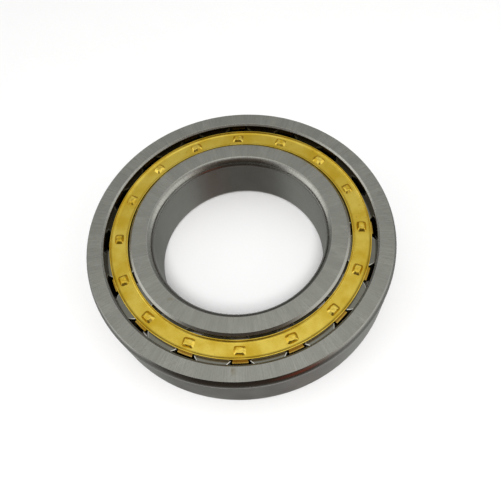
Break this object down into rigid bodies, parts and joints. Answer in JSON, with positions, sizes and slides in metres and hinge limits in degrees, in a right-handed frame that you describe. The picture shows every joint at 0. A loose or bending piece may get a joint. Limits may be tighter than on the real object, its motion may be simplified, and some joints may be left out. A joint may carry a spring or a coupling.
{
  "type": "cylindrical roller bearing",
  "caption": "Single-row cylindrical roller bearing with a ribbed outer ring, a one-rib inner ring and a two-piece machined brass cage riveted by its own bars.",
  "frame": {"origin": "on the bearing's axis, at the middle of its width", "axes": "+Z along the bearing's axis towards the side with the inner ring's rib; +X through one of the cage's rivets"},
  "size_m": [0.17, 0.17, 0.032],
  "materials": {
    "ring_steel": "satin ground",
    "roller_steel": "fine ground",
    "cage_brass": "machined satin"
  },
  "bodies": {
    "outer_ring": {"outer_ring": "ring_steel"},
    "inner_ring": {"inner_ring": "ring_steel"},
    "cage": {"cage_comb": "cage_brass", "cage_cover": "cage_brass"},
    "roller_01": {"roller_01": "roller_steel"},
    "roller_02": {"roller_02": "roller_steel"},
    "roller_03": {"roller_03": "roller_steel"},
    "roller_04": {"roller_04": "roller_steel"},
    "roller_05": {"roller_05": "roller_steel"},
    "roller_06": {"roller_06": "roller_steel"},
    "roller_07": {"roller_07": "roller_steel"},
    "roller_08": {"roller_08": "roller_steel"},
    "roller_09": {"roller_09": "roller_steel"},
    "roller_10": {"roller_10": "roller_steel"},
    "roller_11": {"roller_11": "roller_steel"},
    "roller_12": {"roller_12": "roller_steel"},
    "roller_13": {"roller_13": "roller_steel"},
    "roller_14": {"roller_14": "roller_steel"},
    "roller_15": {"roller_15": "roller_steel"},
    "roller_16": {"roller_16": "roller_steel"}
  },
  "joints": [
    {"name": "inner_spin", "type": "hinge", "parent": "outer_ring", "child": "inner_ring", "pos_m": [0, 0, 0], "axis": [0, 0, 1], "continuous": true},
    {"name": "cage_spin", "type": "hinge", "parent": "outer_ring", "child": "cage", "pos_m": [0, 0, 0], "axis": [0, 0, 1], "continuous": true},
    {"name": "roller_01_spin", "type": "hinge", "parent": "cage", "child": "roller_01", "pos_m": [0.06547, 0.01302, 0], "axis": [0, 0, 1], "continuous": true},
    {"name": "roller_02_spin", "type": "hinge", "parent": "cage", "child": "roller_02", "pos_m": [0.0555, 0.03708, 0], "axis": [0, 0, 1], "continuous": true},
    {"name": "roller_03_spin", "type": "hinge", "parent": "cage", "child": "roller_03", "pos_m": [0.03708, 0.0555, 0], "axis": [0, 0, 1], "continuous": true},
    {"name": "roller_04_spin", "type": "hinge", "parent": "cage", "child": "roller_04", "pos_m": [0.01302, 0.06547, 0], "axis": [0, 0, 1], "continuous": true},
    {"name": "roller_05_spin", "type": "hinge", "parent": "cage", "child": "roller_05", "pos_m": [-0.01302, 0.06547, 0], "axis": [0, 0, 1], "continuous": true},
    {"name": "roller_06_spin", "type": "hinge", "parent": "cage", "child": "roller_06", "pos_m": [-0.03708, 0.0555, 0], "axis": [0, 0, 1], "continuous": true},
    {"name": "roller_07_spin", "type": "hinge", "parent": "cage", "child": "roller_07", "pos_m": [-0.0555, 0.03708, 0], "axis": [0, 0, 1], "continuous": true},
    {"name": "roller_08_spin", "type": "hinge", "parent": "cage", "child": "roller_08", "pos_m": [-0.06547, 0.01302, 0], "axis": [0, 0, 1], "continuous": true},
    {"name": "roller_09_spin", "type": "hinge", "parent": "cage", "child": "roller_09", "pos_m": [-0.06547, -0.01302, 0], "axis": [0, 0, 1], "continuous": true},
    {"name": "roller_10_spin", "type": "hinge", "parent": "cage", "child": "roller_10", "pos_m": [-0.0555, -0.03708, 0], "axis": [0, 0, 1], "continuous": true},
    {"name": "roller_11_spin", "type": "hinge", "parent": "cage", "child": "roller_11", "pos_m": [-0.03708, -0.0555, 0], "axis": [0, 0, 1], "continuous": true},
    {"name": "roller_12_spin", "type": "hinge", "parent": "cage", "child": "roller_12", "pos_m": [-0.01302, -0.06547, 0], "axis": [0, 0, 1], "continuous": true},
    {"name": "roller_13_spin", "type": "hinge", "parent": "cage", "child": "roller_13", "pos_m": [0.01302, -0.06547, 0], "axis": [0, 0, 1], "continuous": true},
    {"name": "roller_14_spin", "type": "hinge", "parent": "cage", "child": "roller_14", "pos_m": [0.03708, -0.0555, 0], "axis": [0, 0, 1], "continuous": true},
    {"name": "roller_15_spin", "type": "hinge", "parent": "cage", "child": "roller_15", "pos_m": [0.0555, -0.03708, 0], "axis": [0, 0, 1], "continuous": true},
    {"name": "roller_16_spin", "type": "hinge", "parent": "cage", "child": "roller_16", "pos_m": [0.06547, -0.01302, 0], "axis": [0, 0, 1], "continuous": true}
  ],
  "couplings": [
    {"joint": "cage_spin", "follows": "inner_spin", "ratio": 0.42135},
    {"joint": "roller_01_spin", "follows": "inner_spin", "ratio": -3.0999},
    {"joint": "roller_02_spin", "follows": "inner_spin", "ratio": -3.0999},
    {"joint": "roller_03_spin", "follows": "inner_spin", "ratio": -3.0999},
    {"joint": "roller_04_spin", "follows": "inner_spin", "ratio": -3.0999},
    {"joint": "roller_05_spin", "follows": "inner_spin", "ratio": -3.0999},
    {"joint": "roller_06_spin", "follows": "inner_spin", "ratio": -3.0999},
    {"joint": "roller_07_spin", "follows": "inner_spin", "ratio": -3.0999},
    {"joint": "roller_08_spin", "follows": "inner_spin", "ratio": -3.0999},
    {"joint": "roller_09_spin", "follows": "inner_spin", "ratio": -3.0999},
    {"joint": "roller_10_spin", "follows": "inner_spin", "ratio": -3.0999},
    {"joint": "roller_11_spin", "follows": "inner_spin", "ratio": -3.0999},
    {"joint": "roller_12_spin", "follows": "inner_spin", "ratio": -3.0999},
    {"joint": "roller_13_spin", "follows": "inner_spin", "ratio": -3.0999},
    {"joint": "roller_14_spin", "follows": "inner_spin", "ratio": -3.0999},
    {"joint": "roller_15_spin", "follows": "inner_spin", "ratio": -3.0999},
    {"joint": "roller_16_spin", "follows": "inner_spin", "ratio": -3.0999}
  ]
}
